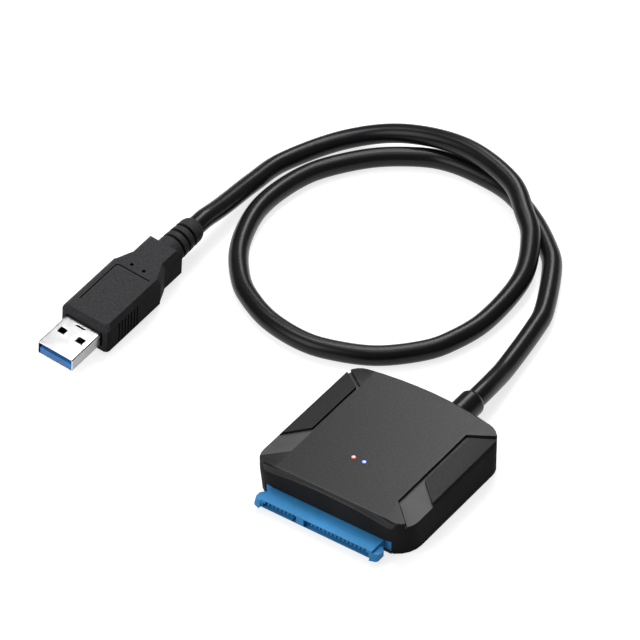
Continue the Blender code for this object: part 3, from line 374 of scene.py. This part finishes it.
METALS = {
    "contact_gold": {
        "name": "contacts",
        "colour": (0.800, 0.560, 0.240),
        "roughness": 0.26,
        "stretch": (1.0, 0.15, 1.0),
    },
    "tin_metal": {
        "name": "tin",
        "colour": (0.640, 0.640, 0.650),
        "roughness": 0.34,
        "stretch": (1.0, 0.3, 1.0),
    },
    "plug_steel": {
        "name": "steel",
        "colour": (0.860, 0.860, 0.865),
        "roughness": 0.185,
        "stretch": (1.0, 0.12, 1.0),
        "scratch": 0.0000005,
        "tarnish": 0.95,
        "vary": 0.008,
    },
    # painted shade: a darker copy of the steel finish for the shell's sides
    "steel_side_painted_shade": {
        "name": "steel_side_painted_shade",
        "colour": (0.340, 0.340, 0.345),
        "roughness": 0.26,
        "stretch": (1.0, 0.12, 1.0),
        "scratch": 0.000001,
        "tarnish": 0.92,
    },
}


# Materials


class Shader:
    """A material's node tree, with short calls for the nodes that the finishes are made of."""

    def __init__(self, name):
        self.material = bpy.data.materials.new(name)
        self.material.use_nodes = True
        self.tree = self.material.node_tree
        self.body = self.tree.nodes["Principled BSDF"]
        self.place = self.add("ShaderNodeTexCoord").outputs["Object"]

    def add(self, kind, **settings):
        made = self.tree.nodes.new(kind)
        for key, value in settings.items():
            setattr(made, key, value)
        return made

    def link(self, source, target):
        self.tree.links.new(source, target)

    def noise(self, size, detail=2.0, stretch=None):
        """Noise whose features are about this size, in metres."""
        made = self.add("ShaderNodeTexNoise")
        made.inputs["Scale"].default_value = 1.0 / size
        made.inputs["Detail"].default_value = detail
        place = self.place
        if stretch:
            mapping = self.add("ShaderNodeMapping")
            mapping.inputs["Scale"].default_value = stretch
            self.link(place, mapping.inputs["Vector"])
            place = mapping.outputs["Vector"]
        self.link(place, made.inputs["Vector"])
        return made.outputs["Fac"]

    def span(self, source, low, high, start=0.3, end=0.7):
        """Maps a value from start..end, by default most of a noise's range, to low..high."""
        made = self.add("ShaderNodeMapRange")
        self.link(source, made.inputs["Value"])
        made.inputs["From Min"].default_value = start
        made.inputs["From Max"].default_value = end
        made.inputs["To Min"].default_value = low
        made.inputs["To Max"].default_value = high
        return made.outputs["Result"]

    def product(self, first, second):
        made = self.add("ShaderNodeMath", operation="MULTIPLY")
        self.link(first, made.inputs[0])
        self.link(second, made.inputs[1])
        return made.outputs[0]

    def mix(self, share, first, second):
        """A colour between two, each a colour or a socket."""
        made = self.add("ShaderNodeMix", data_type="RGBA")
        self.link(share, made.inputs["Factor"])
        for value, socket in ((first, made.inputs[6]), (second, made.inputs[7])):
            if isinstance(value, tuple):
                socket.default_value = (*value, 1.0)
            else:
                self.link(value, socket)
        return made.outputs[2]

    def edges(self, radius):
        """1 on worn edges and 0 elsewhere, from how far a rounded normal turns from the real."""
        bevel = self.add("ShaderNodeBevel", samples=WEAR_SAMPLES)
        bevel.inputs["Radius"].default_value = radius
        geometry = self.add("ShaderNodeNewGeometry")
        dot = self.add("ShaderNodeVectorMath", operation="DOT_PRODUCT")
        self.link(bevel.outputs["Normal"], dot.inputs[0])
        self.link(geometry.outputs["Normal"], dot.inputs[1])
        return self.span(dot.outputs["Value"], 0.0, 1.0, 1.0 - WEAR_START, 1.0 - WEAR_FULL)

    def bump(self, height, depth):
        """Bumps this deep, in metres."""
        made = self.add("ShaderNodeBump")
        made.inputs["Distance"].default_value = depth
        self.link(height, made.inputs["Height"])
        self.link(made.outputs["Normal"], self.body.inputs["Normal"])


def scaled(colour, share):
    return tuple(part * share for part in colour)


def plastic(name, colour, roughness, grain, depth, specular=0.5, spread=0.12, fleck=0.0, wear=1.6):
    """A moulded plastic: a fine grain, changes of tone and gloss, and edges rubbed lighter.

    Its tone changes slowly by the share spread, or in flecks near the grain's size by fleck.
    """
    made = Shader(name)
    made.body.inputs["Specular IOR Level"].default_value = specular
    if fleck:
        tone = made.span(made.noise(grain * FLECK_GRAINS, 3.0), 0.0, 1.0, *FLECK_SPAN)
    else:
        tone = made.span(made.noise(TONE_SIZE, 3.0), 0.0, 1.0)
    swing = fleck or spread
    base = made.mix(tone, scaled(colour, 1.0 - swing), scaled(colour, 1.0 + swing))
    rubbed = made.span(made.noise(RUB_SIZE), RUB_LEAST, 1.0)
    worn = made.product(made.edges(PLASTIC_EDGE), rubbed)
    made.link(made.mix(worn, base, scaled(colour, wear)), made.body.inputs["Base Color"])
    gloss = made.noise(GLOSS_SIZE, 3.0)
    gloss = made.span(gloss, roughness - GLOSS_SWING, roughness + GLOSS_SWING)
    made.link(gloss, made.body.inputs["Roughness"])
    made.bump(made.noise(grain), depth)
    return made


def metal(name, colour, roughness, stretch, scratch=0.000002, tarnish=0.75, vary=0.07):
    """A plated metal: fine drawn lines along the part, soft spots of tarnish and brighter edges."""
    made = Shader(name)
    made.body.inputs["Metallic"].default_value = 1.0
    dull = made.span(made.noise(TARNISH_SIZE, 4.0), 0.0, 1.0, *TARNISH_SPAN)
    base = made.mix(dull, colour, scaled(colour, tarnish))
    bright = tuple(min(1.0, part * METAL_EDGE_SHINE) for part in colour)
    made.link(made.mix(made.edges(METAL_EDGE), base, bright), made.body.inputs["Base Color"])
    lines = made.noise(LINE_SIZE, 3.0, stretch)
    made.link(made.span(lines, roughness - vary, roughness + vary), made.body.inputs["Roughness"])
    made.bump(lines, scratch)
    return made


def shade_inside(made, front):
    """Leaves the finish as it is near its front and turns it dark further in: painted shade inside
    the plug.
    """
    parts = made.add("ShaderNodeSeparateXYZ")
    made.link(made.place, parts.inputs[0])
    inside = made.span(parts.outputs["Y"], 0.0, 1.0, front + INSIDE_START, front + INSIDE_FULL)
    colour = made.body.inputs["Base Color"]
    made.link(made.mix(inside, colour.links[0].from_socket, INSIDE_PAINTED_SHADE), colour)


def light_up(made, word):
    """Lights a pipe's finish: a pale core that turns to the light's colour toward the rim."""
    low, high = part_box("light_pipe_" + word)
    centre = (low + high) / 2
    flat = made.add("ShaderNodeVectorMath", operation="MULTIPLY")
    flat.inputs[1].default_value = (1.0, 1.0, 0.0)
    made.link(made.place, flat.inputs[0])
    away = made.add("ShaderNodeVectorMath", operation="DISTANCE")
    away.inputs[1].default_value = (centre.x, centre.y, 0.0)
    made.link(flat.outputs["Vector"], away.inputs[0])
    ring = made.span(away.outputs["Value"], 0.0, 1.0, LIGHT_CORE, LIGHT_RING)
    glow = made.mix(ring, LIGHTS[word]["core"], LIGHTS[word]["colour"])
    made.link(glow, made.body.inputs["Emission Color"])
    made.body.inputs["Emission Strength"].default_value = LIGHT_STRENGTH


def make_finishes():
    """A finish for each material slot of the record, and for faces that differ from theirs, most of
    them copies with painted light or shade.
    """
    found = {slot: plastic(**look) for slot, look in PLASTICS.items()}
    found.update({slot: metal(**look) for slot, look in METALS.items()})
    shade_inside(found["plug_blue"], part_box("usb_insulator")[0].y)
    for word in LIGHTS:
        light_up(found["light_" + word], word)
    return {slot: made.material for slot, made in found.items()}


# Pieces


def clean_copy(name, node):
    """A mesh object of a node's shape, its flat faces whole again."""
    bm = bmesh.new()
    bm.from_mesh(nodes[node].data)
    bmesh.ops.remove_doubles(bm, verts=bm.verts, dist=WELD)
    bmesh.ops.dissolve_limit(
        bm, angle_limit=FLAT_ANGLE, verts=bm.verts, edges=bm.edges, delimit={"NORMAL"}
    )
    bmesh.ops.recalc_face_normals(bm, faces=bm.faces)
    mesh = bpy.data.meshes.new(name)
    bm.to_mesh(mesh)
    bm.free()
    piece = bpy.data.objects.new(name, mesh)
    bpy.context.scene.collection.objects.link(piece)
    return piece


def soften(piece, width):
    """Small rounds on the piece's sharp edges, where they are long enough, and clean flats."""
    mesh = piece.data
    mesh.shade_smooth()
    mesh.set_sharp_from_angle(angle=SHARP_ANGLE)
    bm = bmesh.new()
    bm.from_mesh(mesh)
    weight = bm.edges.layers.float.new("bevel_weight_edge")
    for edge in bm.edges:
        if len(edge.link_faces) != 2 or edge.calc_face_angle(0.0) < SHARP_ANGLE:
            continue
        if edge.calc_length() > ROUND_SHORTEST * width:
            edge[weight] = 1.0
            edge.smooth = True
    bm.to_mesh(mesh)
    bm.free()
    bevel = piece.modifiers.new("edges", "BEVEL")
    bevel.width = width
    bevel.segments = ROUND_SEGMENTS
    bevel.limit_method = "WEIGHT"
    bevel.use_clamp_overlap = True
    flats = piece.modifiers.new("flats", "WEIGHTED_NORMAL")
    flats.keep_sharp = True


def dress(node, finish):
    """A finished piece in a node's place: the same form with small rounds on its edges."""
    piece = clean_copy(node + "_finished", node)
    piece.data.materials.append(finish)
    soften(piece, EDGE_ROUNDS[node])
    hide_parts(node)
    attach(piece, "root")
    return piece


def hemisphere(count):
    """Directions over the upper half of a sphere, denser toward its top."""
    golden = math.pi * (3 - math.sqrt(5))
    found = []
    for i in range(count):
        lift = math.sqrt(1 - (i + 0.5) / count)
        level = math.sqrt(1 - lift * lift)
        found.append(Vector((level * math.cos(i * golden), level * math.sin(i * golden), lift)))
    return found


def sunk_faces(mesh, reach, share):
    """The faces from which more than this share of the view outward is blocked within reach.

    The view is taken from the middle of each face's largest triangle.
    """
    bm = bmesh.new()
    bm.from_mesh(mesh)
    tree = BVHTree.FromBMesh(bm)
    largest = {}
    for loops in bm.calc_loop_triangles():
        a, b, c = (loop.vert.co for loop in loops)
        area = (b - a).cross(c - a).length
        face = loops[0].face
        if area > largest.get(face.index, (0.0,))[0]:
            largest[face.index] = (area, (a + b + c) / 3, face.normal.copy())
    bm.free()
    rays = hemisphere(SUNK_RAYS)
    found = []
    for index, (_, middle, normal) in largest.items():
        turn = normal.to_track_quat("Z", "Y")
        start = middle + normal * SUNK_OFFSET
        blocked = sum(tree.ray_cast(start, turn @ ray, reach)[0] is not None for ray in rays)
        if blocked > share * len(rays):
            found.append(index)
    return found


def add_finishes(mesh, finishes, names):
    """Adds finishes to a mesh that has one, and gives the number of each by its name."""
    numbers = {}
    for name in names:
        numbers[name] = len(mesh.materials)
        mesh.materials.append(finishes[name])
    return numbers


def finish_cover(piece, finishes):
    """Gives the housing's cove, upright faces, side recesses, panels and grooves their finishes:
    painted highlight on the cove, painted shade on the upright faces and grooves, painted light on
    the recess floors.
    """
    mesh = piece.data
    names = ("case_side_painted_shade", "case_field_painted_light", "case_panel", "groove", "case_rim_painted_highlight")
    number = add_finishes(mesh, finishes, names)
    cove_back = min(vertex.co.y for vertex in mesh.vertices) + COVE_WIDTH
    least_tilt, most_tilt = RECESS_TILT
    for face in mesh.polygons:
        middle, tilt = face.center, face.normal.z
        out = abs(middle.x) - RECESS_INNER_X
        rise = middle.z - (RECESS_INNER_Z - out * RECESS_FALL)
        # painted highlight on the cove
        if middle.y < cove_back and middle.z > COVE_LOW and tilt > COVE_TILT:
            face.material_index = number["case_rim_painted_highlight"]
        # painted shade on the upright faces
        elif tilt < HOUSING_SIDE_TILT:
            face.material_index = number["case_side_painted_shade"]
        elif least_tilt < tilt < most_tilt and out > 0:
            # painted light on the recess floors
            if abs(rise) < FIELD_SLACK:
                face.material_index = number["case_field_painted_light"]
            elif abs(rise - PANEL_RISE) < PANEL_SLACK:
                face.material_index = number["case_panel"]
    beside_panels = (number["case_side_painted_shade"], number["case_field_painted_light"])
    # painted shade: small sunk faces near the top of the housing turn near black
    for index in sunk_faces(mesh, HOUSING_SUNK_REACH, HOUSING_SUNK_SHARE):
        face = mesh.polygons[index]
        small = face.area < HOUSING_GROOVE_AREA
        if small and face.center.z > COVE_LOW and face.material_index in beside_panels:
            face.material_index = number["groove"]


def finish_grip(piece, finishes):
    """Gives the grip's sides, and what is sunk in its surface, darker finishes: painted shade."""
    mesh = piece.data
    number = add_finishes(mesh, finishes, ("grip_side_painted_shade", "groove"))
    # painted shade on the grip's sides
    for face in mesh.polygons:
        if abs(face.normal.x) > GRIP_SIDE_TURN and face.center.y < BOOT_START:
            face.material_index = number["grip_side_painted_shade"]
    # painted shade: the grip's sunk faces turn near black
    for index in sunk_faces(mesh, GRIP_SUNK_REACH, GRIP_SUNK_SHARE):
        mesh.polygons[index].material_index = number["groove"]


def finish_shell(piece, finishes):
    """Gives the sides of the plug's steel shell a darker copy of the steel finish, painted shade.
    """
    mesh = piece.data
    number = add_finishes(mesh, finishes, ("steel_side_painted_shade",))
    # painted shade on the shell's sides
    for face in mesh.polygons:
        if abs(face.normal.x) > SHELL_SIDE_TURN:
            face.material_index = number["steel_side_painted_shade"]


def smooth_route(points, step):
    """Points at an even step along the smooth curve through a route.

    The route's first and last point only steer the curve.
    """
    route = [Vector(point) for point in points]
    fine = []
    for i in range(1, len(route) - 2):
        a, b, c, d = route[i - 1 : i + 3]
        for k in range(ROUTE_FINENESS):
            t = k / ROUTE_FINENESS
            bent = (2 * a - 5 * b + 4 * c - d) * t**2 + (3 * b - a - 3 * c + d) * t**3
            fine.append(0.5 * (2 * b + (c - a) * t + bent))
    fine.append(route[-2])
    lengths = [0.0]
    for before, after in zip(fine, fine[1:]):
        lengths.append(lengths[-1] + (after - before).length)
    count = max(2, round(lengths[-1] / step))
    even = []
    at = 0
    for i in range(count + 1):
        wanted = lengths[-1] * i / count
        while at < len(fine) - 2 and lengths[at + 1] < wanted:
            at += 1
        share = (wanted - lengths[at]) / (lengths[at + 1] - lengths[at])
        even.append(fine[at].lerp(fine[at + 1], share))
    return even


def make_cable(finish):
    """The cable's jacket, straight out of the boot at its start and into the gland at its end."""
    first = CABLE_START + CABLE_START_AXIS * CABLE_RUN_OUT
    last = CABLE_END + Vector((0, CABLE_RUN_OUT, 0))
    middle = smooth_route([CABLE_START, first, *CABLE_ROUTE, last, CABLE_END], CABLE_STEP)
    points = [CABLE_START, *middle, CABLE_END]
    curve = bpy.data.curves.new("cable_jacket", "CURVE")
    curve.dimensions = "3D"
    curve.bevel_depth = CABLE_RADIUS
    curve.bevel_resolution = CABLE_ROUNDNESS
    curve.use_fill_caps = True
    spline = curve.splines.new("POLY")
    spline.points.add(len(points) - 1)
    for place, point in zip(spline.points, points):
        place.co = (*point, 1.0)
    spline.use_smooth = True
    curve.materials.append(finish)
    cable = bpy.data.objects.new("cable_jacket", curve)
    bpy.context.scene.collection.objects.link(cable)
    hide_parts("cable")
    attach(cable, "root")
    return cable


def dress_nodes(finishes):
    """Puts finished copies in the place of some nodes and a finish on each of the others."""
    dressed = {}
    for part in frame["record"]["subparts"]:
        node, slot = part["node"], part["material_slot"]
        if node in EDGE_ROUNDS:
            dressed[node] = dress(node, finishes[slot])
        elif node != "cable":
            materials = nodes[node].data.materials
            materials.clear()
            materials.append(finishes[slot])
    finish_cover(dressed["top_cover"], finishes)
    finish_grip(dressed["usb_grip"], finishes)
    finish_shell(dressed["usb_shell"], finishes)
    return dressed


# Studio


def make_camera():
    data = bpy.data.cameras.new("view")
    data.lens = VIEW_LENS
    data.sensor_width = VIEW_SENSOR
    data.sensor_fit = "HORIZONTAL"
    data.clip_start = VIEW_CLIP_START
    data.clip_end = VIEW_CLIP_END
    eye = bpy.data.objects.new("view", data)
    bpy.context.scene.collection.objects.link(eye)
    level = math.cos(VIEW_ELEVATION)
    east = math.sin(VIEW_AZIMUTH) * level
    south = -math.cos(VIEW_AZIMUTH) * level
    back = Vector((east, south, math.sin(VIEW_ELEVATION)))
    eye.location = VIEW_TARGET + back * VIEW_DISTANCE
    eye.rotation_euler = back.to_track_quat("Z", "Y").to_euler()
    bpy.context.scene.camera = eye


def make_floor():
    """A plain floor, white to the camera and in reflections, that keeps the object's shadow."""
    reach = FLOOR_REACH
    corners = [(-reach, -reach, 0), (reach, -reach, 0), (reach, reach, 0), (-reach, reach, 0)]
    mesh = bpy.data.meshes.new("floor")
    mesh.from_pydata(corners, [], [(0, 1, 2, 3)])
    floor = bpy.data.objects.new("floor", mesh)
    bpy.context.scene.collection.objects.link(floor)
    made = bpy.data.materials.new("floor")
    made.use_nodes = True
    tree = made.node_tree
    tree.nodes.clear()
    path = tree.nodes.new("ShaderNodeLightPath")
    seen = path.outputs["Is Camera Ray"]
    for kind in ("Is Glossy Ray", "Is Transmission Ray"):
        either = tree.nodes.new("ShaderNodeMath")
        either.operation = "MAXIMUM"
        tree.links.new(seen, either.inputs[0])
        tree.links.new(path.outputs[kind], either.inputs[1])
        seen = either.outputs[0]
    lift = tree.nodes.new("ShaderNodeMath")
    lift.operation = "MULTIPLY"
    lift.inputs[1].default_value = FLOOR_GLOW
    tree.links.new(seen, lift.inputs[0])
    glow = tree.nodes.new("ShaderNodeEmission")
    tree.links.new(lift.outputs[0], glow.inputs["Strength"])
    diffuse = tree.nodes.new("ShaderNodeBsdfDiffuse")
    diffuse.inputs["Color"].default_value = (FLOOR_COLOUR, FLOOR_COLOUR, FLOOR_COLOUR, 1.0)
    total = tree.nodes.new("ShaderNodeAddShader")
    tree.links.new(diffuse.outputs[0], total.inputs[0])
    tree.links.new(glow.outputs[0], total.inputs[1])
    out = tree.nodes.new("ShaderNodeOutputMaterial")
    tree.links.new(total.outputs[0], out.inputs["Surface"])
    mesh.materials.append(made)


def make_lamp(name, place, aim, size, power):
    data = bpy.data.lights.new(name, "AREA")
    data.shape = "RECTANGLE"
    data.size, data.size_y = size
    data.energy = power
    made = bpy.data.objects.new(name, data)
    bpy.context.scene.collection.objects.link(made)
    made.location = place
    made.rotation_euler = (Vector(place) - Vector(aim)).to_track_quat("Z", "Y").to_euler()


def make_light():
    world = bpy.data.worlds.new("studio")
    world.use_nodes = True
    background = world.node_tree.nodes["Background"]
    background.inputs["Color"].default_value = WORLD_COLOUR
    background.inputs["Strength"].default_value = WORLD_STRENGTH
    bpy.context.scene.world = world
    for row in LAMPS:
        make_lamp(*row)


def main():
    make_camera()
    bpy.context.scene.view_settings.view_transform = "Standard"
    finishes = make_finishes()
    cable = make_cable(finishes["cable_black"])
    dressed = dress_nodes(finishes)
    make_floor()
    make_light()


main()
